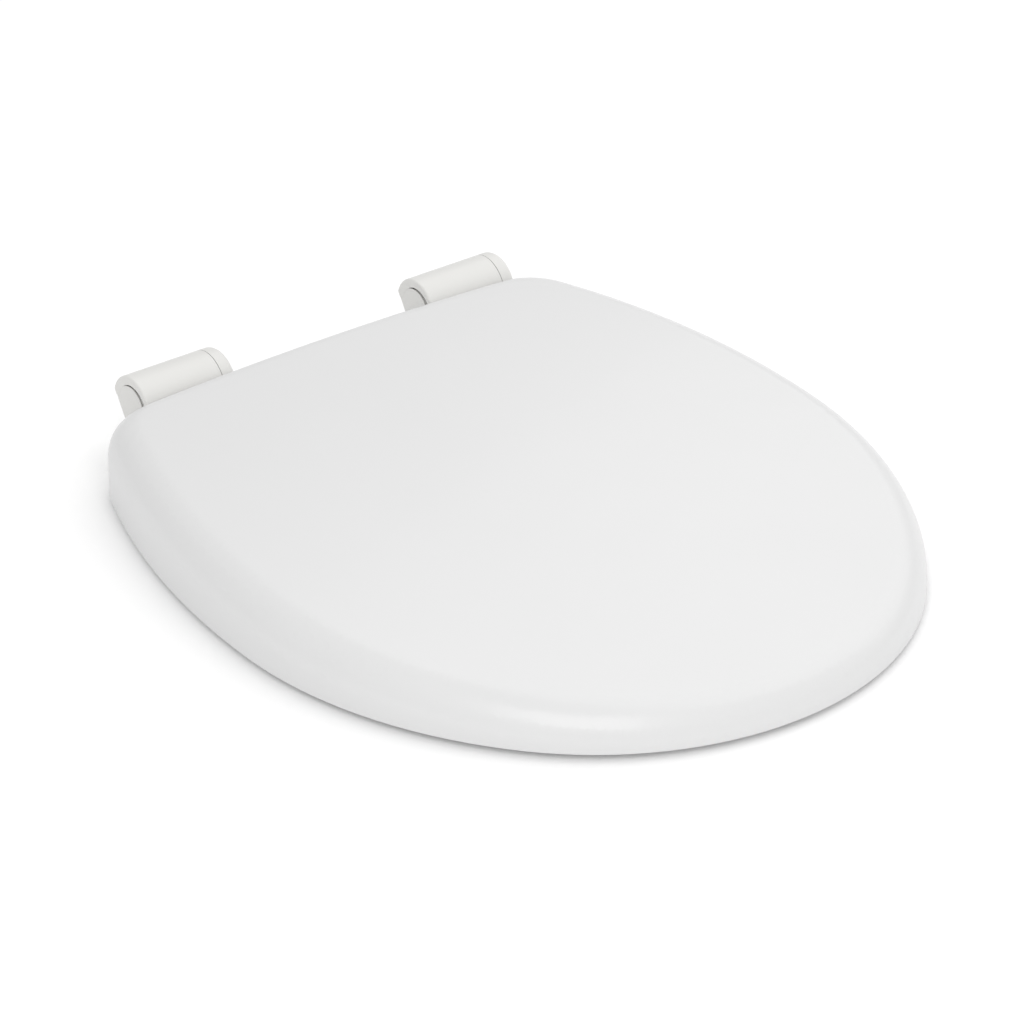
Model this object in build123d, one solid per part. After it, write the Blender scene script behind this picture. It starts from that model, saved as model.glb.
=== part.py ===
"""Toilet seat: a deep wrap-over lid and a seat ring on two barrel hinges of the same hand.

Millimetres, +Z up, the front of the seat toward -Y. The origin is midway between the two
fixing holes, on the bowl's top face.
"""
import os
from math import asin, atan2, cos, degrees, radians, sin, sqrt

from build123d import *

# Lid outline: a nose arc, two side arcs, two back side arcs, two corners and a straight back
LID_WIDTH = 370.0
LID_LENGTH = 397.5
BACK_Y = 12.0
WIDEST_FROM_BACK = 188.5
NOSE_TIGHTER = 14.5
BACK_SIDE_RADIUS = 466.0
CORNER_RADIUS = 40.0
BACK_TRIM = 10.0

# Lid section
RIM_Z = 4.0
LID_TOP = 49.3
CROWN_RADIUS = 2340.0
CROWN_FROM_BACK = 37.0
LID_ROLL = 20.0
LID_WALL = 3.5
BACK_EDGE_RADIUS = 6.0

# Seat ring
SEAT_UNDER = 5.0
SEAT_THICKNESS = 14.5
SEAT_INSET = 16.0
SEAT_BACK_GAP = 31.0
SEAT_ROLL = 8.0
OPENING_WIDTH = 226.0
OPENING_LENGTH = 250.0
OPENING_FROM_FRONT = 56.0
OPENING_ROLL = 7.0

# Hinges
HINGE_PITCH = 186.0
HINGE_LENGTH = 57.5
HINGE_SHIFT = 6.6
AXIS_Y = 31.0
AXIS_Z = 32.6
BARREL_RADIUS = 17.0
BACK_LEAN = 31.5
BACK_LINE = 10.8
PILLAR_FRONT_GAP = 3.0
FOOT_THICKNESS = 5.0
FOOT_REACH = 15.0
FOOT_CORNER = 9.0
FIXING_RADIUS = 4.2
LEAF_KNUCKLE = 8.5
KNUCKLE_EDGE = 4.0
HOOD_EDGE = 1.2
SIDE_PLAY = 0.4

# Seat arm in the post's open end
ARM_WIDTH = 10.0
ARM_SET_BACK = 1.2
BOSS_RADIUS = 10.8
RECESS_RADIUS = 12.7
RECESS_SHIFT = 1.5
ARM_THICKNESS = 6.0
ARM_PLATE = 3.6
ARM_PLATE_WIDTH = 30.0
ARM_PLATE_REACH = 30.0
HOOD_FRONT = 157.0
HOOD_BACK = 8.0

# Lid leaf and the pads that it is screwed to
LEAF_TOP = 36.0
LEAF_PLATE = 4.0
LEAF_PLATE_WIDTH = 30.0
LEAF_REACH = 34.0
PAD_MARGIN = 3.0
SLOT_PLAY = 1.0
FOOT_WAY_PLAY = 4.0

# Pins, screws and buffers
PIN_RADIUS = 3.5
PIN_PLAY = 0.05
PIN_END_WALL = 3.0
SCREW_RADIUS = 2.0
SCREW_HEAD_RADIUS = 3.8
SCREW_HEAD_DEPTH = 2.0
SCREW_BITE = 5.0
SCREW_PITCH = 16.0
SCREW_FROM_END = 7.0
FIT_PLAY = 0.03
SEAT_BUFFER_LENGTH = 30.0
SEAT_BUFFER_WIDTH = 14.0
SEAT_BUFFER_CORNER = 4.6
SEAT_BUFFER_TURN = 55.0
SEAT_BUFFER_FROM_SIDE = 71.0
SEAT_BUFFER_Y = 95.0
LID_BUFFER_RADIUS = 7.0
LID_BUFFER_HEIGHT = 7.0
LID_BUFFER_EDGE = 1.75
LID_BUFFER_FROM_SIDE = 63.0
LID_BUFFER_PLAY = 0.3

# Worked out from the sizes above
HALF_WIDTH = LID_WIDTH / 2
NOSE_RADIUS = HALF_WIDTH - NOSE_TIGHTER
WIDEST_Y = BACK_Y - WIDEST_FROM_BACK
NOSE_Y = BACK_Y - LID_LENGTH
CROWN_Y = BACK_Y - CROWN_FROM_BACK
SEAT_TOP = SEAT_UNDER + SEAT_THICKNESS
SEAT_BACK_Y = BACK_Y - SEAT_BACK_GAP
SEAT_FRONT_Y = NOSE_Y + SEAT_INSET
OPENING_Y = SEAT_FRONT_Y + OPENING_FROM_FRONT + OPENING_LENGTH / 2
RECESS_DEPTH = ARM_WIDTH + ARM_SET_BACK + SIDE_PLAY
POST_LENGTH = HINGE_LENGTH - LEAF_KNUCKLE - SIDE_PLAY
ARM_PLATE_TOP = SEAT_UNDER
ARM_PLATE_UNDER = ARM_PLATE_TOP - ARM_PLATE
LEAF_UNDER = LEAF_TOP - LEAF_PLATE
SEAT_BUFFER_X = HALF_WIDTH - SEAT_BUFFER_FROM_SIDE
LID_BUFFER_X = HALF_WIDTH - LID_BUFFER_FROM_SIDE
LID_PAD_Z = SEAT_TOP + LID_BUFFER_PLAY + LID_BUFFER_HEIGHT
HINGES = {"left": -HINGE_PITCH / 2, "right": HINGE_PITCH / 2}
REACH = 600.0
PAST = 1.0
NEAR = 0.01


def plan(inset, back_y):
    """The lid's plan outline, moved inward by inset and closed at back_y, with round back corners."""
    nose_y = NOSE_Y + NOSE_RADIUS
    ahead = WIDEST_Y - nose_y
    side_radius = (HALF_WIDTH**2 + ahead**2 - NOSE_RADIUS**2) / (2 * (HALF_WIDTH - NOSE_RADIUS))
    side_x = HALF_WIDTH - side_radius
    join = degrees(atan2(nose_y - WIDEST_Y, -side_x))
    back_x = HALF_WIDTH - BACK_SIDE_RADIUS
    back_radius = BACK_SIDE_RADIUS - inset
    turn = degrees(asin((back_y - WIDEST_Y) / back_radius))
    corner_x = back_x + back_radius * cos(radians(turn))
    edges = [
        CenterArc((0, nose_y), NOSE_RADIUS - inset, -180 - join, 180 + 2 * join),
        CenterArc((side_x, WIDEST_Y), side_radius - inset, join, -join),
        CenterArc((back_x, WIDEST_Y), back_radius, 0, turn),
        Line((corner_x, back_y), (-corner_x, back_y)),
        CenterArc((-back_x, WIDEST_Y), back_radius, 180 - turn, turn),
        CenterArc((-side_x, WIDEST_Y), side_radius - inset, 180, -join),
    ]
    outline = make_face(edges)
    return fillet(outline.vertices().group_by(Axis.Y)[-1], CORNER_RADIUS - inset)


def upright(face, bottom, top):
    """A plan face raised from one height to another."""
    return Pos(0, 0, bottom) * extrude(face, amount=top - bottom)


def block(x0, x1, y0, y1, z0, z1):
    """A box between opposite corners."""
    return Pos((x0 + x1) / 2, (y0 + y1) / 2, (z0 + z1) / 2) * Box(x1 - x0, y1 - y0, z1 - z0)


def rod(x0, x1, radius):
    """A round bar along the hinge axis."""
    return Pos((x0 + x1) / 2, AXIS_Y, AXIS_Z) * Rot(0, 90, 0) * Cylinder(radius, x1 - x0)


def side_profile(lines, x0, x1):
    """A closed outline in the Y-Z plane, drawn from edges in (y, z), carried from x0 to x1."""
    face = make_face([Plane.YZ * line for line in lines])
    return Pos(x0, 0, 0) * extrude(face, amount=x1 - x0, dir=(1, 0, 0))


def ray(angle, radius, ahead=0.0):
    """A point in (y, z) around the hinge axis, or around a centre ahead of it."""
    return (AXIS_Y - ahead + radius * cos(radians(angle)), AXIS_Z + radius * sin(radians(angle)))


def recess(angle):
    """A point in (y, z) on the wall of the post's open end."""
    return ray(angle, RECESS_RADIUS, RECESS_SHIFT)


def lean_point(z, depth=0.0):
    """A point in (y, z) on the leaning back line of the hinge, or depth in front of it."""
    distance = BACK_LINE - depth
    return (AXIS_Y + (distance + (z - AXIS_Z) * sin(radians(BACK_LEAN))) / cos(radians(BACK_LEAN)), z)


def dome(inset, bottom):
    """The crowned, rolled body of the lid, smaller by inset all over and trimmed flat at the back."""
    blank = upright(plan(inset, BACK_Y + BACK_TRIM - inset), bottom, LID_TOP + PAST)
    body = blank & Pos(0, CROWN_Y, LID_TOP - CROWN_RADIUS) * Sphere(CROWN_RADIUS - inset)
    crest = body.faces().sort_by(Axis.Z)[-1]
    body = fillet(crest.edges(), LID_ROLL - inset)
    return body - block(-REACH, REACH, BACK_Y - inset, REACH, -REACH, REACH)


def hinge_edges(body, y):
    """The edges of a lid body's straight back, without the one along the rim."""
    back = body.faces().filter_by(Axis.Y).sort_by(Axis.Y)[-1]
    floor = min(v.Z for v in back.vertices())
    return [e for e in back.edges() if e.center().Z > floor + NEAR and abs(e.center().Y - y) < NEAR]


def barrel_span(x):
    """The X range of the whole barrel over the fixing hole at x."""
    middle = x + HINGE_SHIFT
    return middle - HINGE_LENGTH / 2, middle + HINGE_LENGTH / 2


def leaf_span(x):
    """The X range of the lid's knuckle on the hinge at x."""
    end = barrel_span(x)[1]
    return end - LEAF_KNUCKLE, end


def leaf_middle(x):
    """The middle of a lid leaf's plate, whose side is flush with the knuckle's end."""
    return barrel_span(x)[1] - LEAF_PLATE_WIDTH / 2


def arm_span(x):
    """The X range of the seat's hinge arm on the hinge at x."""
    start = barrel_span(x)[0] + ARM_SET_BACK
    return start, start + ARM_WIDTH


def leaf_screw_places(x):
    """The two lid screws of a hinge: places in plan."""
    y = BACK_Y - LEAF_REACH + SCREW_FROM_END
    return [(leaf_middle(x) + side * SCREW_PITCH / 2, y) for side in (-1, 1)]


def arm_screw_places(x):
    """The two seat screws of a hinge: places in plan."""
    start, end = arm_span(x)
    y = SEAT_BACK_Y - ARM_PLATE_REACH + SCREW_FROM_END
    return [((start + end) / 2 + side * SCREW_PITCH / 2, y) for side in (-1, 1)]


def screw(x, y, seat_z, plate, play=0.0):
    """A countersunk screw driven upward, its head flush with the plate's lower face at seat_z."""
    head = Cone(SCREW_HEAD_RADIUS + play, SCREW_RADIUS + play, SCREW_HEAD_DEPTH)
    shank = Cylinder(SCREW_RADIUS + play, plate + SCREW_BITE - SCREW_HEAD_DEPTH + play)
    low = Pos(0, 0, SCREW_HEAD_DEPTH / 2) * head
    high = Pos(0, 0, (plate + SCREW_BITE + SCREW_HEAD_DEPTH + play) / 2) * shank
    return Pos(x, y, seat_z) * (low + high)


def lid():
    """The lid: a rolled and crowned shell with pads for the leaves and buffers."""
    outer = dome(0, RIM_Z)
    outer = fillet(hinge_edges(outer, BACK_Y), BACK_EDGE_RADIUS)
    shell = outer - dome(LID_WALL, RIM_Z - PAST)
    for x in HINGES.values():
        half = LEAF_PLATE_WIDTH / 2 + PAD_MARGIN
        middle = leaf_middle(x)
        pad_front = BACK_Y - LEAF_REACH - PAD_MARGIN
        pad = block(middle - half, middle + half, pad_front, BACK_Y, LEAF_TOP, LID_TOP)
        shell += pad & outer
        wall = (BACK_Y - LID_WALL - PAST, BACK_Y + PAST)
        start, end = leaf_span(x)
        slot = block(start - SLOT_PLAY, end + SLOT_PLAY, *wall, LEAF_UNDER - SLOT_PLAY, LEAF_TOP)
        first = barrel_span(x)[0] - FOOT_WAY_PLAY
        foot_way = block(first, end + FOOT_WAY_PLAY, *wall, RIM_Z - PAST, SEAT_UNDER + FOOT_WAY_PLAY)
        shell -= slot + foot_way
        for sx, sy in leaf_screw_places(x):
            shell -= screw(sx, sy, LEAF_UNDER, LEAF_PLATE, FIT_PLAY)
    for side in (-1, 1):
        stud = Pos(side * LID_BUFFER_X, WIDEST_Y, (LID_PAD_Z + LID_TOP) / 2)
        shell += (stud * Cylinder(LID_BUFFER_RADIUS, LID_TOP - LID_PAD_Z)) & outer
    return shell


def seat_ring():
    """The seat ring: a solid ring with rolled edges, flat underneath."""
    blank = upright(plan(SEAT_INSET, SEAT_BACK_Y), SEAT_UNDER, SEAT_TOP)
    blank = fillet(blank.faces().sort_by(Axis.Z)[-1].edges(), SEAT_ROLL)
    opening = Pos(0, OPENING_Y) * Ellipse(OPENING_WIDTH / 2, OPENING_LENGTH / 2)
    ring = blank - upright(opening, SEAT_UNDER - PAST, SEAT_TOP + PAST)
    top = ring.edges().group_by(Axis.Z)[-1]
    lip = [e for e in top if e.bounding_box().size.Y < OPENING_LENGTH + PAST and e.is_closed]
    ring = fillet(lip, OPENING_ROLL)
    for x in HINGES.values():
        for sx, sy in arm_screw_places(x):
            ring -= screw(sx, sy, ARM_PLATE_UNDER, ARM_PLATE, FIT_PLAY)
    return ring


def seat_buffer_places():
    """The four seat buffers, turned to lie along the ring."""
    places = {}
    for side, word in ((-1, "left"), (1, "right")):
        for end, name in ((-1, "front"), (1, "rear")):
            spot = Pos(side * SEAT_BUFFER_X, WIDEST_Y + end * SEAT_BUFFER_Y)
            places[f"{name}_{word}"] = spot * Rot(0, 0, 90 + side * end * (90 - SEAT_BUFFER_TURN))
    return places


def seat_buffer(place):
    """A rubber buffer between the seat ring and the bowl."""
    pad = Pos(0, 0, SEAT_UNDER / 2) * Box(SEAT_BUFFER_LENGTH, SEAT_BUFFER_WIDTH, SEAT_UNDER)
    pad = fillet(pad.edges().filter_by(Axis.Z), SEAT_BUFFER_CORNER)
    return place * pad


def lid_buffer(side):
    """A rubber buffer under the lid, just clear of the seat."""
    pad = Cylinder(LID_BUFFER_RADIUS, LID_BUFFER_HEIGHT)
    pad = fillet(pad.edges().sort_by(Axis.Z)[0], LID_BUFFER_EDGE)
    return Pos(side * LID_BUFFER_X, WIDEST_Y, LID_PAD_Z - LID_BUFFER_HEIGHT / 2) * pad


def hinge_post(x):
    """A fixed hinge post: barrel, leaning pillar and foot, with a hooded open end for the seat's arm."""
    start = barrel_span(x)[0]
    body_start = start + RECESS_DEPTH
    end = start + POST_LENGTH
    swing = degrees(asin(BACK_LINE / BARREL_RADIUS))
    top_back = 90 - BACK_LEAN - swing
    front_y = BACK_Y + PILLAR_FRONT_GAP
    front_z = AXIS_Z - sqrt(BARREL_RADIUS**2 - (AXIS_Y - front_y)**2)
    crest = ThreePointArc(ray(top_back, BARREL_RADIUS), ray(90, BARREL_RADIUS), (front_y, front_z))
    outline = [
        Line(lean_point(0), ray(top_back, BARREL_RADIUS)),
        crest,
        Line((front_y, front_z), (front_y, 0)),
        Line((front_y, 0), lean_point(0)),
    ]
    post = side_profile(outline, body_start, end)
    hood = [
        Line(recess(HOOD_BACK), lean_point(recess(HOOD_BACK)[1])),
        Line(lean_point(recess(HOOD_BACK)[1]), ray(top_back, BARREL_RADIUS)),
        ThreePointArc(ray(top_back, BARREL_RADIUS), ray(90, BARREL_RADIUS), ray(HOOD_FRONT, BARREL_RADIUS)),
        Line(ray(HOOD_FRONT, BARREL_RADIUS), recess(HOOD_FRONT)),
        ThreePointArc(recess(HOOD_FRONT), recess(90), recess(HOOD_BACK)),
    ]
    post += side_profile(hood, start, body_start)
    lip = [e for e in post.edges() if e.length > BARREL_RADIUS and abs(e.center().X - start) < NEAR
           and e.geom_type == GeomType.CIRCLE and e.radius > RECESS_RADIUS + PAST]
    post = fillet(lip, HOOD_EDGE)
    foot = block(body_start, end, -FOOT_REACH, front_y + PAST, 0, FOOT_THICKNESS)
    foot = fillet(foot.edges().filter_by(Axis.Z).group_by(Axis.Y)[0], FOOT_CORNER)
    post += foot
    post -= Pos(x, 0, 0) * Cylinder(FIXING_RADIUS, 4 * FOOT_THICKNESS)
    return post - rod(start - PAST, end + PAST, PIN_RADIUS + FIT_PLAY)


def lid_leaf(x):
    """The lid's half of a hinge: a round-ended knuckle and a plate screwed up to the lid's pad."""
    start, end = leaf_span(x)
    knuckle = rod(start, end, BARREL_RADIUS)
    knuckle = fillet(knuckle.edges().sort_by(Axis.X)[-1], KNUCKLE_EDGE)
    arm = block(start, end, BACK_Y - LID_WALL, AXIS_Y - PIN_RADIUS, LEAF_UNDER, LEAF_TOP)
    half = LEAF_PLATE_WIDTH / 2
    middle = leaf_middle(x)
    back = BACK_Y - LID_WALL - SLOT_PLAY
    plate = block(middle - half, middle + half, BACK_Y - LEAF_REACH, back, LEAF_UNDER, LEAF_TOP)
    plate = fillet(plate.edges().filter_by(Axis.Z), PAD_MARGIN)
    link = block(start, end, BACK_Y - LEAF_REACH / 2, BACK_Y, LEAF_UNDER, LEAF_TOP)
    leaf = knuckle + arm + link + plate
    for sx, sy in leaf_screw_places(x):
        leaf -= screw(sx, sy, LEAF_UNDER, LEAF_PLATE, FIT_PLAY)
    return leaf - rod(start - PAST, end - PIN_END_WALL, PIN_RADIUS + PIN_PLAY)


def seat_arm(x):
    """The seat's half of a hinge: a boss in the post's open end, on an arm that bends under the seat."""
    start, end = arm_span(x)
    bottom = ARM_PLATE_UNDER
    boss = rod(start, end, BOSS_RADIUS)
    inward = BACK_LINE - BOSS_RADIUS
    back_top = ray(-BACK_LEAN, BOSS_RADIUS)
    back_foot = lean_point(bottom, inward)
    front_knee = lean_point(ARM_PLATE_TOP, inward + ARM_THICKNESS)
    front_top = ray(-BACK_LEAN, BOSS_RADIUS - ARM_THICKNESS)
    tip_y = SEAT_BACK_Y - ARM_PLATE_REACH / 2
    tip = [(tip_y, bottom), (tip_y, ARM_PLATE_TOP)]
    outline = Polyline([front_top, back_top, back_foot, *tip, front_knee], close=True)
    arm = side_profile(outline.edges(), start, end)
    half = ARM_PLATE_WIDTH / 2
    middle = (start + end) / 2
    front = SEAT_BACK_Y - ARM_PLATE_REACH
    plate = block(middle - half, middle + half, front, SEAT_BACK_Y, bottom, ARM_PLATE_TOP)
    plate = fillet(plate.edges().filter_by(Axis.Z), PAD_MARGIN)
    leaf = boss + arm + plate
    for sx, sy in arm_screw_places(x):
        leaf -= screw(sx, sy, bottom, ARM_PLATE, FIT_PLAY)
    return leaf - rod(start + PIN_END_WALL, end + PAST, PIN_RADIUS + PIN_PLAY)


def hinge_pin(x):
    """The steel pin through the seat's boss, the post and the lid's knuckle."""
    first = arm_span(x)[0] + PIN_END_WALL + SIDE_PLAY
    last = leaf_span(x)[1] - PIN_END_WALL - SIDE_PLAY
    return rod(first, last, PIN_RADIUS)


def main():
    """Build every piece and write one file for each."""
    pieces = {"lid": lid(), "seat_ring": seat_ring()}
    for word, x in HINGES.items():
        pieces[f"{word}_hinge_post"] = hinge_post(x)
        pieces[f"{word}_lid_leaf"] = lid_leaf(x)
        pieces[f"{word}_seat_arm"] = seat_arm(x)
        pieces[f"{word}_hinge_pin"] = hinge_pin(x)
        leaf_screws = [screw(sx, sy, LEAF_UNDER, LEAF_PLATE) for sx, sy in leaf_screw_places(x)]
        pieces[f"{word}_leaf_screws"] = Compound(children=leaf_screws)
        arm_screws = [screw(sx, sy, ARM_PLATE_UNDER, ARM_PLATE) for sx, sy in arm_screw_places(x)]
        pieces[f"{word}_arm_screws"] = Compound(children=arm_screws)
    for word, place in seat_buffer_places().items():
        pieces[f"{word}_seat_buffer"] = seat_buffer(place)
    for word, side in (("left", -1), ("right", 1)):
        pieces[f"{word}_lid_buffer"] = lid_buffer(side)
    os.makedirs("parts", exist_ok=True)
    for name, piece in pieces.items():
        export_step(piece, f"parts/{name}.step")


main()
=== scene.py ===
"""Toilet seat in white moulded plastic: finishes, small moulded detail and a plain studio stage."""

from math import cos, radians, sin

import bmesh
import bpy
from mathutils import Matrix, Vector


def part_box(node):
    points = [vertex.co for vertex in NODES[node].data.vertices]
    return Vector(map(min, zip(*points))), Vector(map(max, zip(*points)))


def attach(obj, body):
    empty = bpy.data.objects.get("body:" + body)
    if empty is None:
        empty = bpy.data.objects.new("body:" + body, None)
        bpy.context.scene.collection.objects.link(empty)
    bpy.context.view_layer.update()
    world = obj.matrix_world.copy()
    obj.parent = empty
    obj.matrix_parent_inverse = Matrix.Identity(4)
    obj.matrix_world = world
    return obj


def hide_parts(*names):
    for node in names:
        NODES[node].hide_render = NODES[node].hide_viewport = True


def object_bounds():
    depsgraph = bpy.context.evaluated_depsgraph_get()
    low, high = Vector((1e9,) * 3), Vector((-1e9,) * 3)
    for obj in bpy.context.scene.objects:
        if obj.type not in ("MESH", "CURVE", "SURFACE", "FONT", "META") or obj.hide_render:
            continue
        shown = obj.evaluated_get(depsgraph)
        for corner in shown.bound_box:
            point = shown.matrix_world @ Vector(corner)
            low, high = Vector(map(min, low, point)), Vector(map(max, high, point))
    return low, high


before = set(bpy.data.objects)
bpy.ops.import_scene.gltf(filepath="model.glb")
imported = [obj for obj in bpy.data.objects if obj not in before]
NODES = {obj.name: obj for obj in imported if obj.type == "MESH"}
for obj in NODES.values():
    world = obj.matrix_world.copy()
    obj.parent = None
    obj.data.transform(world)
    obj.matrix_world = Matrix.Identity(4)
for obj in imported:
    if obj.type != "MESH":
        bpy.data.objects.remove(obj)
CAD_BOX = [list(corner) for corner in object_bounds()]

bl_info = {
    "name": "Toilet seat",
    "version": (1, 0, 0),
    "blender": (4, 5, 0),
    "location": "3D View > Sidebar > Seat",
    "description": "Dresses a toilet seat in plastic, rubber and steel and sets a studio stage",
    "category": "Object",
}

SIDES = ("left", "right")

# Edges stay sharp above the first angle and are rounded above the second; facets join below the third.
SMOOTH_ANGLE = radians(30)
SHARP_ANGLE = radians(40)
FLAT_ANGLE = radians(1)
ROUNDING_STEPS = 3
# Points closer than this, in metres, are one point.
MERGE_DISTANCE = 0.000001
# Corners of the round forms.
COVER_CORNERS = 96
CUTTER_CORNERS = 128
SCREW_CORNERS = 48
# Share of a rounding within which a face still counts as flat underside.
FLAT_SHARE = 0.05


class Value:
    """A node's output that takes part in Python expressions, each of which adds a Math node."""

    def __init__(self, finish, socket):
        self.finish = finish
        self.socket = socket

    def combine(self, operation, first, second):
        """The result of a Math node with two values."""
        return self.finish.node("ShaderNodeMath", {"operation": operation}, {0: first, 1: second})

    def __add__(self, other):
        return self.combine("ADD", self, other)

    def __radd__(self, other):
        return self.combine("ADD", other, self)

    def __mul__(self, other):
        return self.combine("MULTIPLY", self, other)


class Finish:
    """A material and its node tree."""

    def __init__(self, name):
        self.material = bpy.data.materials.new(name)
        self.material.use_nodes = True
        self.tree = self.material.node_tree
        self.tree.nodes.clear()

    def node(self, kind, settings=None, inputs=None, output=0):
        """Add one node: its settings first, then the values or links of its sockets."""
        made = self.tree.nodes.new(kind)
        for name, value in (settings or {}).items():
            setattr(made, name, value)
        for key, value in (inputs or {}).items():
            if isinstance(value, Value):
                self.tree.links.new(value.socket, made.inputs[key])
            else:
                made.inputs[key].default_value = value
        return Value(self, made.outputs[output]) if made.outputs else None

    def place(self):
        """The point on the object, in metres."""
        return self.node("ShaderNodeTexCoord", output="Object")

    def grain(self, size, detail=2.0):
        """Soft noise whose patches are about size metres across."""
        inputs = {"Vector": self.place(), "Scale": 1.0 / size, "Detail": detail}
        return self.node("ShaderNodeTexNoise", {"noise_dimensions": "3D"}, inputs)

    def bump(self, height, strength, depth):
        """A surface whose height varies by up to depth metres."""
        inputs = {"Strength": strength, "Distance": depth, "Height": height}
        return self.node("ShaderNodeBump", None, inputs)

    def tint(self, amount, low, high):
        """A colour between low and high."""
        inputs = {"Factor": amount, "A": (*low, 1.0), "B": (*high, 1.0)}
        return self.node("ShaderNodeMix", {"data_type": "RGBA"}, inputs, output="Result")

    def surface(self, inputs):
        """Close the tree with a principled surface."""
        shader = self.node("ShaderNodeBsdfPrincipled", None, inputs)
        self.node("ShaderNodeOutputMaterial", None, {"Surface": shader})
        return self.material


def shade(colour, factor):
    """A colour made darker or lighter by a factor."""
    return tuple(channel * factor for channel in colour)


def moulded_plastic(name, colour, gloss, ripple):
    """Glossy moulded plastic: faint flow marks, an uneven polish and a shallow ripple."""
    finish = Finish(name)
    flow = finish.grain(size=0.09, detail=3.0)
    polish = finish.grain(size=0.025, detail=4.0)
    skin = finish.grain(size=0.0035, detail=2.0)
    return finish.surface({
        "Base Color": finish.tint(flow, shade(colour, 0.985), shade(colour, 1.01)),
        "Roughness": gloss + polish * 0.08,
        "Normal": finish.bump(skin, strength=ripple, depth=0.0002),
        "IOR": 1.5,
        "Coat Weight": 0.15,
        "Coat Roughness": 0.12,
    })


def soft_rubber(name, colour):
    """Matt rubber with a fine dusty grain."""
    finish = Finish(name)
    dust = finish.grain(size=0.0012, detail=4.0)
    return finish.surface({
        "Base Color": finish.tint(dust, shade(colour, 0.9), shade(colour, 1.05)),
        "Roughness": 0.7 + dust * 0.15,
        "Normal": finish.bump(dust, strength=0.25, depth=0.0001),
    })


def bright_steel(name, colour):
    """Turned steel with fine drawn lines."""
    finish = Finish(name)
    drawn = {"Vector": finish.place(), "Scale": (1.0, 12.0, 12.0)}
    stretched = finish.node("ShaderNodeMapping", None, drawn)
    lines = finish.node("ShaderNodeTexNoise", None, {"Vector": stretched, "Scale": 300.0, "Detail": 3.0})
    return finish.surface({
        "Base Color": finish.tint(lines, shade(colour, 0.9), shade(colour, 1.05)),
        "Roughness": 0.22 + lines * 0.18,
        "Metallic": 1.0,
    })


def studio_floor(name, colour, lift, strength):
    """White paper: it shows white to the lens and still takes the shadow."""
    finish = Finish(name)
    speck = finish.grain(size=0.4)
    paper = finish.node("ShaderNodeBsdfDiffuse", None, {
        "Color": finish.tint(speck, shade(colour, 0.995), colour),
    })
    white = (1.0, 1.0, 1.0, 1.0)
    glow = finish.node("ShaderNodeEmission", None, {"Color": white, "Strength": strength})
    seen = finish.node("ShaderNodeLightPath", output="Is Camera Ray")
    glossy = finish.node("ShaderNodeLightPath", output="Is Glossy Ray")
    mixed = finish.node("ShaderNodeMixShader", None, {0: (seen + glossy) * lift, 1: paper, 2: glow})
    finish.node("ShaderNodeOutputMaterial", None, {"Surface": mixed})
    return finish.material


def dress(names, material):
    """Give CAD nodes one material."""
    for name in names:
        slots = NODES[name].data.materials
        slots.clear()
        slots.append(material)


def clear_selection():
    """Leave nothing selected, so that the next step acts on its own piece alone."""
    bpy.ops.object.select_all(action="DESELECT")


def make_active(piece):
    """Select one piece alone and make it the active one."""
    clear_selection()
    piece.select_set(True)
    bpy.context.view_layer.objects.active = piece


def smooth():
    """Shade the active piece smooth between its sharp edges."""
    bpy.ops.object.shade_smooth_by_angle(angle=SMOOTH_ANGLE)


def settle():
    """Put the active piece's place, turn and size into its mesh."""
    bpy.ops.object.transform_apply(location=True, rotation=True, scale=True)
    return bpy.context.object


def middle(part):
    """The middle of a vertex or face."""
    if isinstance(part, bmesh.types.BMVert):
        return part.co.copy()
    return sum((corner.co for corner in part.verts), Vector()) / len(part.verts)


def pick(kind, test):
    """In edit mode, select the vertices or faces whose middle passes a test."""
    mesh = bpy.context.object.data
    bpy.ops.mesh.select_mode(type=kind)
    bpy.ops.mesh.select_all(action="DESELECT")
    form = bmesh.from_edit_mesh(mesh)
    for part in {"VERT": form.verts, "FACE": form.faces}[kind]:
        if test(middle(part)):
            part.select_set(True)
    form.select_flush_mode()
    bmesh.update_edit_mesh(mesh)


def move_out(value):
    """Extrude what is selected by a step."""
    bpy.ops.mesh.extrude_region_move(TRANSFORM_OT_translate={"value": tuple(value)})


def slice_at(spot, way, keep_both=False):
    """Cut the whole mesh with a plane, and drop what lies beyond it unless both halves are kept."""
    bpy.ops.mesh.select_all(action="SELECT")
    bpy.ops.mesh.bisect(
        plane_co=tuple(spot), plane_no=tuple(way), use_fill=not keep_both, clear_outer=not keep_both)


def face_outward():
    """Merge doubled points and turn every face outward."""
    bpy.ops.mesh.select_all(action="SELECT")
    bpy.ops.mesh.remove_doubles(threshold=MERGE_DISTANCE)
    bpy.ops.mesh.normals_make_consistent(inside=False)


def modify(piece, kind, settings):
    """Add a modifier to a piece and apply it."""
    make_active(piece)
    bpy.ops.object.modifier_add(type=kind)
    modifier = piece.modifiers[-1]
    for name, value in settings.items():
        setattr(modifier, name, value)
    bpy.ops.object.modifier_apply(modifier=modifier.name)


def cut(piece, tool):
    """Take a tool's form out of a piece, and the tool away."""
    modify(piece, "BOOLEAN", {"operation": "DIFFERENCE", "solver": "EXACT", "object": tool})
    bpy.data.objects.remove(tool, do_unlink=True)


def soften(piece, width):
    """Round a piece's sharp edges and smooth the rest."""
    modify(piece, "BEVEL", {
        "width": width,
        "segments": ROUNDING_STEPS,
        "limit_method": "ANGLE",
        "angle_limit": SHARP_ANGLE,
    })
    smooth()


def hand_over(piece, name, body, material):
    """Name a finished piece, give it its material and let it ride on its body."""
    piece.name = name
    piece.data.name = name
    piece.data.materials.clear()
    piece.data.materials.append(material)
    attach(piece, body)


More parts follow.
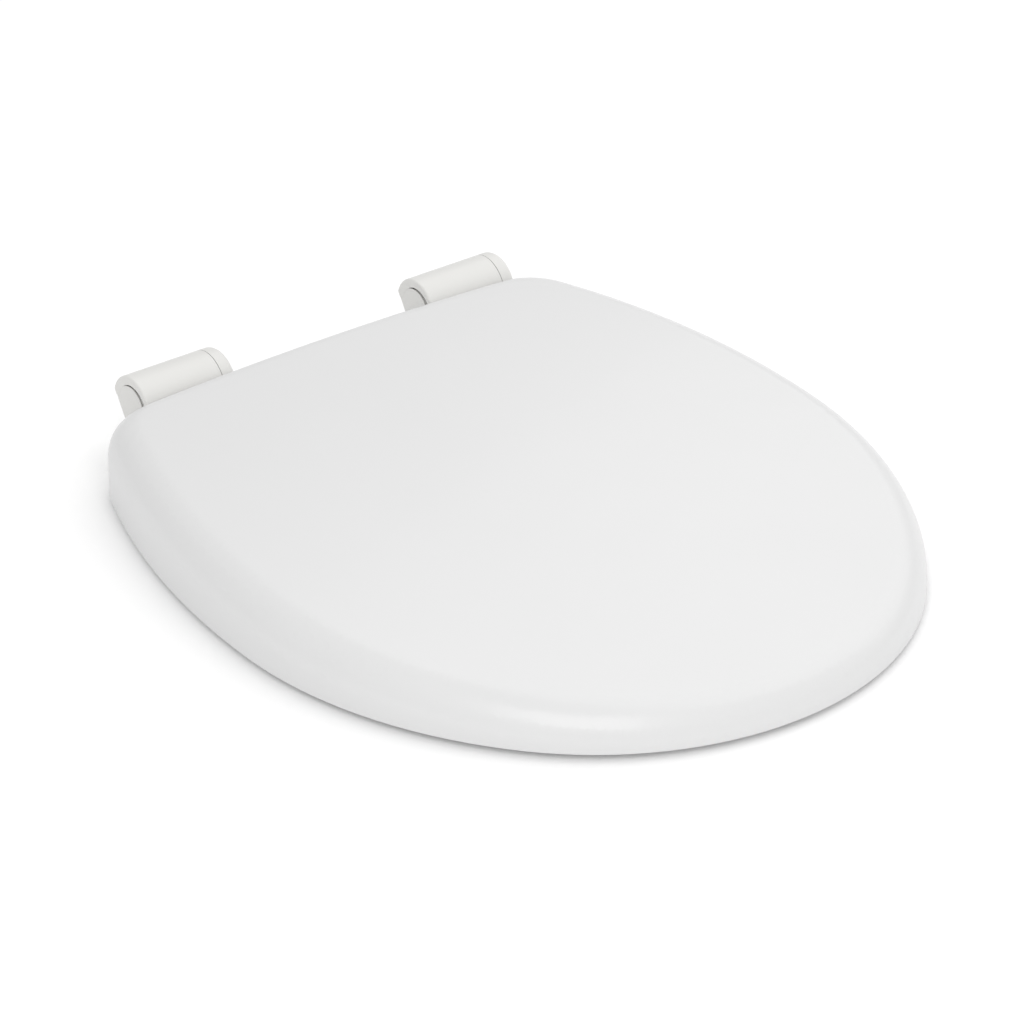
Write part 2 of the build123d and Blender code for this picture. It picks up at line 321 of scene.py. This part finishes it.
def copy_solid(node):
    """A copy of a solid's mesh as a piece of its own, with its loose facets joined into one skin."""
    piece = bpy.data.objects.new(node, NODES[node].data.copy())
    bpy.context.scene.collection.objects.link(piece)
    make_active(piece)
    bpy.ops.object.mode_set(mode="EDIT")
    bpy.ops.mesh.select_all(action="SELECT")
    bpy.ops.mesh.remove_doubles(threshold=MERGE_DISTANCE)
    bpy.ops.mesh.dissolve_degenerate(threshold=MERGE_DISTANCE)
    bpy.ops.object.mode_set(mode="OBJECT")
    bpy.ops.mesh.customdata_custom_splitnormals_clear()
    return piece


def lid_skin(material):
    """The lid's skin, smooth over its crown and roll and sharp along its rim."""
    skin = copy_solid("lid")
    smooth()
    modify(skin, "WEIGHTED_NORMAL", {"keep_sharp": True, "weight": 50})
    hand_over(skin, "lid_skin", "lid", material)
    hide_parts("lid")


def hinge_ways(side, sizes, inset):
    """The point on the pin's line just inside a hinge's open end, and the ways across and down its lean."""
    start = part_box(f"{side}_hinge_post")[0][0] + inset
    axis = Vector((start, sizes.axis[1], sizes.axis[2]))
    across = Vector((0, cos(sizes.lean), -sin(sizes.lean)))
    down = Vector((0, -sin(sizes.lean), -cos(sizes.lean)))
    return axis, across, down


def pin_line_cutter(axis, radius, depth):
    """A round bar along the hinge's pin line."""
    clear_selection()
    bpy.ops.mesh.primitive_cylinder_add(
        vertices=CUTTER_CORNERS, radius=radius, depth=depth, location=axis, rotation=(0, radians(90), 0))
    return settle()


def end_cover(side, sizes, material):
    """The round cover in a hinge's open end, flat along the leaning back and clear of the hood in front."""
    axis, across, _ = hinge_ways(side, sizes, sizes.cover_inset)
    clear_selection()
    bpy.ops.mesh.primitive_circle_add(
        vertices=COVER_CORNERS, radius=sizes.cover_radius, fill_type="NGON",
        location=axis + Vector((0, *sizes.cover_shift)), rotation=(0, radians(90), 0))
    cover = settle()
    bpy.ops.object.mode_set(mode="EDIT")
    slice_at(axis + across * sizes.boss_radius, across)
    bpy.ops.mesh.select_all(action="SELECT")
    move_out((sizes.cover, 0, 0))
    face_outward()
    bpy.ops.object.mode_set(mode="OBJECT")
    soften(cover, sizes.cover_edge)
    hand_over(cover, f"{side}_end_cover", "hinge_base", material)


def arm_facing(side, sizes, material):
    """The raised side of a seat arm's leaning stem, level with the round cover above it."""
    axis, across, down = hinge_ways(side, sizes, sizes.cover_inset)
    clear_selection()
    place = axis + across * (sizes.boss_radius - sizes.stem / 2) + down * axis.z
    place.x += sizes.facing / 2
    bpy.ops.mesh.primitive_cube_add(
        size=1, location=place, rotation=(-sizes.lean, 0, 0), scale=(sizes.facing, sizes.stem, 2 * axis.z))
    facing = settle()
    bpy.ops.object.mode_set(mode="EDIT")
    slice_at((0, 0, sizes.stem_foot), (0, 0, -1))
    face_outward()
    bpy.ops.object.mode_set(mode="OBJECT")
    cut(facing, pin_line_cutter(axis, sizes.facing_clear, 4 * sizes.facing))
    soften(facing, sizes.cover_edge)
    hand_over(facing, f"{side}_arm_facing", "seat", material)


def hood_tail(side, sizes, material):
    """The tapered lower end of a hinge's hood, which runs down the leaning back to the seat's arm."""
    axis, across, _ = hinge_ways(side, sizes, sizes.tail_inset)
    clear_selection()
    place = axis + Vector((sizes.hood_depth / 2, sizes.tail_behind, sizes.tail_above))
    bpy.ops.mesh.primitive_cube_add(size=1, location=place, scale=(sizes.hood_depth, *sizes.tail_block))
    tail = settle()
    bpy.ops.object.mode_set(mode="EDIT")
    slice_at(axis + across * sizes.boss_radius, across)
    face_outward()
    bpy.ops.object.mode_set(mode="OBJECT")
    cut(tail, pin_line_cutter(axis, sizes.boss_radius + sizes.tail_gap, 3 * sizes.hood_depth))
    smooth()
    hand_over(tail, f"{side}_hood_tail", "hinge_base", material)


def cross_cutter(spot, sizes, turn):
    """One tapered bar of the cross in a screw's head."""
    clear_selection()
    bpy.ops.mesh.primitive_cube_add(
        size=1, location=spot, rotation=(0, 0, turn),
        scale=(sizes.cross_length, sizes.cross_width, 2 * sizes.cross_depth))
    bar = settle()
    bpy.ops.object.mode_set(mode="EDIT")
    pick("FACE", lambda centre: centre.z > spot.z + sizes.cross_depth / 2)
    taper = sizes.cross_taper
    bpy.ops.transform.resize(value=(taper, taper, 1), center_override=tuple(spot))
    bpy.ops.object.mode_set(mode="OBJECT")
    return bar


def cross_screws(node, body, sizes, material):
    """A hinge's pair of countersunk screws with crossed heads, driven upward."""
    low, high = (Vector(corner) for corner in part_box(node))
    spot = Vector((low.x + sizes.head_radius, (low.y + high.y) / 2, low.z))
    length = high.z - low.z
    clear_selection()
    bpy.ops.mesh.primitive_cylinder_add(
        vertices=SCREW_CORNERS, radius=sizes.shank_radius, depth=length,
        location=spot + Vector((0, 0, length / 2)))
    pair = settle()
    bpy.ops.object.mode_set(mode="EDIT")
    slice_at((0, 0, low.z + sizes.head_depth), (0, 0, 1), keep_both=True)
    slice_at((0, 0, high.z - sizes.tip), (0, 0, 1), keep_both=True)
    flare = sizes.head_radius / sizes.shank_radius
    pick("VERT", lambda point: point.z < low.z + sizes.head_depth / 2)
    bpy.ops.transform.resize(value=(flare, flare, 1), center_override=tuple(spot))
    pick("VERT", lambda point: point.z > high.z - sizes.tip / 2)
    bpy.ops.transform.resize(value=(sizes.tip_taper, sizes.tip_taper, 1), center_override=tuple(spot))
    bpy.ops.object.mode_set(mode="OBJECT")
    for turn in (radians(45), radians(135)):
        cut(pair, cross_cutter(spot, sizes, turn))
    bpy.ops.object.mode_set(mode="EDIT")
    bpy.ops.mesh.select_all(action="SELECT")
    step = high.x - low.x - 2 * sizes.head_radius
    bpy.ops.mesh.duplicate_move(TRANSFORM_OT_translate={"value": (step, 0, 0)})
    face_outward()
    bpy.ops.object.mode_set(mode="OBJECT")
    smooth()
    hand_over(pair, f"{node}_crossed", body, material)
    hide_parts(node)


def soft_buffer(node, body, sizes, material):
    """A rubber buffer with rounded edges and a shallow hollow in its underside."""
    pad = copy_solid(node)
    bpy.ops.object.mode_set(mode="EDIT")
    bpy.ops.mesh.select_all(action="SELECT")
    bpy.ops.mesh.dissolve_limited(angle_limit=FLAT_ANGLE)
    bpy.ops.object.mode_set(mode="OBJECT")
    soften(pad, sizes.buffer_edge)
    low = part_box(node)[0][2]
    bpy.ops.object.mode_set(mode="EDIT")
    pick("FACE", lambda centre: centre.z < low + sizes.buffer_edge * FLAT_SHARE)
    bpy.ops.mesh.inset(thickness=sizes.hollow_margin)
    move_out((0, 0, sizes.hollow_depth))
    bpy.ops.object.mode_set(mode="OBJECT")
    smooth()
    hand_over(pad, f"{node}_pad", body, material)
    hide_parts(node)


class SeatSizes(bpy.types.PropertyGroup):
    """Sizes of the small moulded detail."""

    axis: bpy.props.FloatVectorProperty(
        name="Hinge axis", description="A point on the hinge pins", subtype="XYZ", unit="LENGTH",
        default=(0.0, 0.031, 0.0326))
    lean: bpy.props.FloatProperty(
        name="Lean", description="Lean of the hinge's back", subtype="ANGLE", default=radians(31.5))
    boss_radius: bpy.props.FloatProperty(
        name="Arm end", description="Radius of the seat arm's round end", unit="LENGTH", default=0.0108)
    cover_radius: bpy.props.FloatProperty(
        name="Cover radius", description="Radius of the round cover", unit="LENGTH", default=0.0116)
    cover_shift: bpy.props.FloatVectorProperty(
        name="Cover shift", description="Cover's centre behind and above the axis", size=2, unit="LENGTH",
        default=(0.0009, -0.0003))
    cover: bpy.props.FloatProperty(
        name="Cover", description="Thickness of the round cover", unit="LENGTH", default=0.00085)
    cover_edge: bpy.props.FloatProperty(
        name="Cover edge", description="Rounding of the cover and facing", unit="LENGTH", default=0.0003)
    cover_inset: bpy.props.FloatProperty(
        name="Cover inset", description="From the hood's end to the cover", unit="LENGTH", default=0.00003)
    stem: bpy.props.FloatProperty(
        name="Stem", description="Width of the arm's leaning stem", unit="LENGTH", default=0.006)
    stem_foot: bpy.props.FloatProperty(
        name="Stem foot", description="Height of the facing's lower end", unit="LENGTH", default=0.006)
    facing: bpy.props.FloatProperty(
        name="Facing", description="Thickness of the stem's facing", unit="LENGTH", default=0.00118)
    facing_clear: bpy.props.FloatProperty(
        name="Facing clear", description="From the pin's line to the facing", unit="LENGTH", default=0.0126)
    hood_depth: bpy.props.FloatProperty(
        name="Hood depth", description="Depth of the hinge's open end", unit="LENGTH", default=0.0116)
    tail_inset: bpy.props.FloatProperty(
        name="Tail inset", description="From the hood's end to its tail", unit="LENGTH", default=0.0002)
    tail_gap: bpy.props.FloatProperty(
        name="Tail gap", description="Between the hood's tail and the arm", unit="LENGTH", default=0.0003)
    tail_behind: bpy.props.FloatProperty(
        name="Tail behind", description="Middle of the tail behind the axis", unit="LENGTH", default=0.0115)
    tail_above: bpy.props.FloatProperty(
        name="Tail above", description="Middle of the tail above the axis", unit="LENGTH", default=-0.0012)
    tail_block: bpy.props.FloatVectorProperty(
        name="Tail block", description="Depth and height of the tail's blank", size=2, unit="LENGTH",
        default=(0.007, 0.0063))
    head_radius: bpy.props.FloatProperty(
        name="Screw head", description="Radius of a screw's head", unit="LENGTH", default=0.0038)
    shank_radius: bpy.props.FloatProperty(
        name="Screw shank", description="Radius of a screw's shank", unit="LENGTH", default=0.002)
    head_depth: bpy.props.FloatProperty(
        name="Head depth", description="Depth of the countersunk head", unit="LENGTH", default=0.002)
    tip: bpy.props.FloatProperty(
        name="Screw tip", description="Length of the tapered tip", unit="LENGTH", default=0.003)
    tip_taper: bpy.props.FloatProperty(
        name="Tip taper", description="Width of the tip's end as a share of the shank", default=0.3)
    cross_length: bpy.props.FloatProperty(
        name="Cross length", description="Length of the cross's bars", unit="LENGTH", default=0.0046)
    cross_width: bpy.props.FloatProperty(
        name="Cross width", description="Width of the cross's bars", unit="LENGTH", default=0.0011)
    cross_depth: bpy.props.FloatProperty(
        name="Cross depth", description="Depth of the cross", unit="LENGTH", default=0.0015)
    cross_taper: bpy.props.FloatProperty(
        name="Cross taper", description="Width of the cross at its bottom as a share", default=0.55)
    buffer_edge: bpy.props.FloatProperty(
        name="Buffer edge", description="Rounding of the buffers", unit="LENGTH", default=0.0009)
    hollow_margin: bpy.props.FloatProperty(
        name="Hollow margin", description="Rim round a buffer's hollow", unit="LENGTH", default=0.0018)
    hollow_depth: bpy.props.FloatProperty(
        name="Hollow depth", description="Depth of a buffer's hollow", unit="LENGTH", default=0.0006)


class SeatFinishes(bpy.types.PropertyGroup):
    """Colours and polish of the seat's materials."""

    shell: bpy.props.FloatVectorProperty(
        name="Shell", description="White of the lid and ring", subtype="COLOR", default=(0.72, 0.72, 0.72))
    hinge: bpy.props.FloatVectorProperty(
        name="Hinges", description="Slightly warm white of the hinges", subtype="COLOR",
        default=(0.72, 0.715, 0.695))
    rubber: bpy.props.FloatVectorProperty(
        name="Buffers", description="Off-white of the buffers", subtype="COLOR", default=(0.70, 0.70, 0.69))
    steel: bpy.props.FloatVectorProperty(
        name="Steel", description="Pins and screws", subtype="COLOR", default=(0.62, 0.62, 0.63))
    shell_gloss: bpy.props.FloatProperty(
        name="Shell roughness", description="Roughness of the lid and ring", default=0.30, min=0.0, max=1.0)
    hinge_gloss: bpy.props.FloatProperty(
        name="Hinge roughness", description="Roughness of the hinges", default=0.38, min=0.0, max=1.0)
    shell_ripple: bpy.props.FloatProperty(
        name="Shell ripple", description="Strength of the faint ripple in the lid and ring", default=0.05)
    hinge_ripple: bpy.props.FloatProperty(
        name="Hinge ripple", description="Strength of the faint ripple in the hinges", default=0.08)


class SeatStage(bpy.types.PropertyGroup):
    """The stage: camera, floor and lamps."""

    azimuth: bpy.props.FloatProperty(
        name="Azimuth", description="Camera's turn about the seat", subtype="ANGLE",
        default=radians(-37.36))
    elevation: bpy.props.FloatProperty(
        name="Elevation", description="Camera's height angle", subtype="ANGLE", default=radians(29.68))
    distance: bpy.props.FloatProperty(
        name="Distance", description="Camera to target", unit="LENGTH", default=2.5)
    target: bpy.props.FloatVectorProperty(
        name="Target", description="Point that the camera looks at", subtype="XYZ", unit="LENGTH",
        default=(0.0, -0.1494, 0.0107))
    lens: bpy.props.FloatProperty(
        name="Lens", description="Focal length in millimetres", default=170.06, min=10.0)
    sensor: bpy.props.FloatProperty(
        name="Sensor", description="Width of the sensor in millimetres", default=36.0, min=1.0)
    reach: bpy.props.FloatProperty(
        name="Reach", description="Farthest distance that the camera sees", unit="LENGTH", default=50.0)
    floor_size: bpy.props.FloatProperty(
        name="Floor", description="Side of the floor", unit="LENGTH", default=12.0)
    floor_colour: bpy.props.FloatVectorProperty(
        name="Floor colour", description="Paper white", subtype="COLOR", default=(0.96, 0.96, 0.96))
    floor_lift: bpy.props.FloatProperty(
        name="Floor lift", description="How far the floor is lifted to white for the lens", default=0.09)
    floor_glow: bpy.props.FloatProperty(
        name="Floor glow", description="Brightness that the floor is lifted toward", default=1.6)
    sky: bpy.props.FloatProperty(
        name="Sky", description="Strength of the even light", default=0.72)
    lamp_distance: bpy.props.FloatProperty(
        name="Lamp distance", description="From the lamps to the target", unit="LENGTH", default=2.0)
    side: bpy.props.FloatProperty(
        name="Side lamp", description="Power of the lamp on the right", unit="POWER", default=16.7)
    side_size: bpy.props.FloatProperty(
        name="Side lamp size", description="Width of the lamp on the right", unit="LENGTH", default=2.6)
    side_azimuth: bpy.props.FloatProperty(
        name="Side lamp turn", description="Turn of the lamp on the right", subtype="ANGLE",
        default=radians(100))
    side_elevation: bpy.props.FloatProperty(
        name="Side lamp height", description="Height angle of the lamp on the right", subtype="ANGLE",
        default=radians(52))
    front: bpy.props.FloatProperty(
        name="Front lamp", description="Power of the lamp near the camera", unit="POWER", default=11.5)
    front_size: bpy.props.FloatProperty(
        name="Front lamp size", description="Width of the lamp near the camera", unit="LENGTH", default=1.2)
    front_elevation: bpy.props.FloatProperty(
        name="Front lamp height", description="Height angle of the lamp near the camera", subtype="ANGLE",
        default=radians(40))


class SEAT_OT_shells(bpy.types.Operator):
    """Finish the lid and the seat ring"""

    bl_idname = "seat.shells"
    bl_label = "Lid and ring"

    def execute(self, context):
        finishes = context.scene.seat_finishes
        white = moulded_plastic(
            "shell_white", tuple(finishes.shell), finishes.shell_gloss, finishes.shell_ripple)
        dress(["lid", "seat_ring"], white)
        lid_skin(white)
        return {"FINISHED"}


class SEAT_OT_hinges(bpy.types.Operator):
    """Finish the hinge posts, lid leaves and seat arms, and close the hinges' open ends"""

    bl_idname = "seat.hinges"
    bl_label = "Hinges"

    def execute(self, context):
        sizes = context.scene.seat_sizes
        finishes = context.scene.seat_finishes
        white = moulded_plastic(
            "hinge_white", tuple(finishes.hinge), finishes.hinge_gloss, finishes.hinge_ripple)
        for side in SIDES:
            dress([f"{side}_hinge_post", f"{side}_lid_leaf", f"{side}_seat_arm"], white)
            end_cover(side, sizes, white)
            arm_facing(side, sizes, white)
            hood_tail(side, sizes, white)
        return {"FINISHED"}


class SEAT_OT_steel(bpy.types.Operator):
    """Finish the pins and make the screws"""

    bl_idname = "seat.steel"
    bl_label = "Pins and screws"

    def execute(self, context):
        sizes = context.scene.seat_sizes
        steel = bright_steel("bright_steel", tuple(context.scene.seat_finishes.steel))
        for side in SIDES:
            dress([f"{side}_hinge_pin", f"{side}_leaf_screws", f"{side}_arm_screws"], steel)
            cross_screws(f"{side}_leaf_screws", "lid", sizes, steel)
            cross_screws(f"{side}_arm_screws", "seat", sizes, steel)
        return {"FINISHED"}


class SEAT_OT_buffers(bpy.types.Operator):
    """Make the seat and lid buffers"""

    bl_idname = "seat.buffers"
    bl_label = "Buffers"

    def execute(self, context):
        sizes = context.scene.seat_sizes
        rubber = soft_rubber("buffer_white", tuple(context.scene.seat_finishes.rubber))
        for side in SIDES:
            dress([f"front_{side}_seat_buffer", f"rear_{side}_seat_buffer", f"{side}_lid_buffer"], rubber)
            soft_buffer(f"front_{side}_seat_buffer", "seat", sizes, rubber)
            soft_buffer(f"rear_{side}_seat_buffer", "seat", sizes, rubber)
            soft_buffer(f"{side}_lid_buffer", "lid", sizes, rubber)
        return {"FINISHED"}


def aim(thing, eye, target):
    """Put a camera or lamp at eye, looking at target."""
    thing.location = eye
    thing.rotation_euler = (Vector(target) - Vector(eye)).to_track_quat("-Z", "Y").to_euler()


def around(target, azimuth, elevation, distance):
    """The point at a distance from target in a direction."""
    flat = cos(elevation)
    way = Vector((sin(azimuth) * flat, -cos(azimuth) * flat, sin(elevation)))
    return Vector(target) + way * distance


def softbox(name, size, power, eye, target):
    """A square lamp with soft edges to its shadows."""
    bpy.ops.object.light_add(type="AREA")
    lamp = bpy.context.object
    lamp.name = name
    lamp.data.shape = "SQUARE"
    lamp.data.size = size
    lamp.data.energy = power
    aim(lamp, eye, target)


class SEAT_OT_stage(bpy.types.Operator):
    """Set the floor, the lamps and the camera"""

    bl_idname = "seat.stage"
    bl_label = "Stage"

    def execute(self, context):
        stage = context.scene.seat_stage
        clear_selection()
        bpy.ops.mesh.primitive_plane_add(size=stage.floor_size, location=(0, 0, CAD_BOX[0][2]))
        floor = context.object
        floor.name = "floor"
        paper = studio_floor(
            "floor_paper", tuple(stage.floor_colour), stage.floor_lift, stage.floor_glow)
        floor.data.materials.append(paper)
        world = bpy.data.worlds.new("studio")
        context.scene.world = world
        world.use_nodes = True
        background = world.node_tree.nodes["Background"]
        background.inputs["Color"].default_value = (1.0, 1.0, 1.0, 1.0)
        background.inputs["Strength"].default_value = stage.sky
        target = tuple(stage.target)
        side_eye = around(target, stage.side_azimuth, stage.side_elevation, stage.lamp_distance)
        softbox("side_lamp", stage.side_size, stage.side, side_eye, target)
        front_eye = around(target, stage.azimuth, stage.front_elevation, stage.lamp_distance)
        softbox("front_lamp", stage.front_size, stage.front, front_eye, target)
        bpy.ops.object.camera_add()
        camera = context.object
        camera.name = "photo_camera"
        camera.data.sensor_width = stage.sensor
        camera.data.lens = stage.lens
        camera.data.clip_end = stage.reach
        aim(camera, around(target, stage.azimuth, stage.elevation, stage.distance), target)
        context.scene.camera = camera
        context.scene.view_settings.view_transform = "Standard"
        return {"FINISHED"}


class SEAT_PT_panel(bpy.types.Panel):
    """Lists the steps that dress the seat"""

    bl_idname = "SEAT_PT_panel"
    bl_label = "Toilet seat"
    bl_space_type = "VIEW_3D"
    bl_region_type = "UI"
    bl_category = "Seat"

    def draw(self, context):
        for operator in OPERATORS:
            self.layout.operator(operator.bl_idname)


OPERATORS = (SEAT_OT_shells, SEAT_OT_hinges, SEAT_OT_steel, SEAT_OT_buffers, SEAT_OT_stage)
GROUPS = (SeatSizes, SeatFinishes, SeatStage)


def register():
    """Make the groups, operators and panel known."""
    for kind in (*GROUPS, *OPERATORS, SEAT_PT_panel):
        bpy.utils.register_class(kind)
    bpy.types.Scene.seat_sizes = bpy.props.PointerProperty(type=SeatSizes)
    bpy.types.Scene.seat_finishes = bpy.props.PointerProperty(type=SeatFinishes)
    bpy.types.Scene.seat_stage = bpy.props.PointerProperty(type=SeatStage)


def unregister():
    """Take them away again."""
    del bpy.types.Scene.seat_stage
    del bpy.types.Scene.seat_finishes
    del bpy.types.Scene.seat_sizes
    for kind in (SEAT_PT_panel, *reversed(OPERATORS), *reversed(GROUPS)):
        bpy.utils.unregister_class(kind)


def main():
    """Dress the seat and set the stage."""
    register()
    bpy.ops.seat.shells()
    bpy.ops.seat.hinges()
    bpy.ops.seat.steel()
    bpy.ops.seat.buffers()
    bpy.ops.seat.stage()


if __name__ == "__main__":
    main()
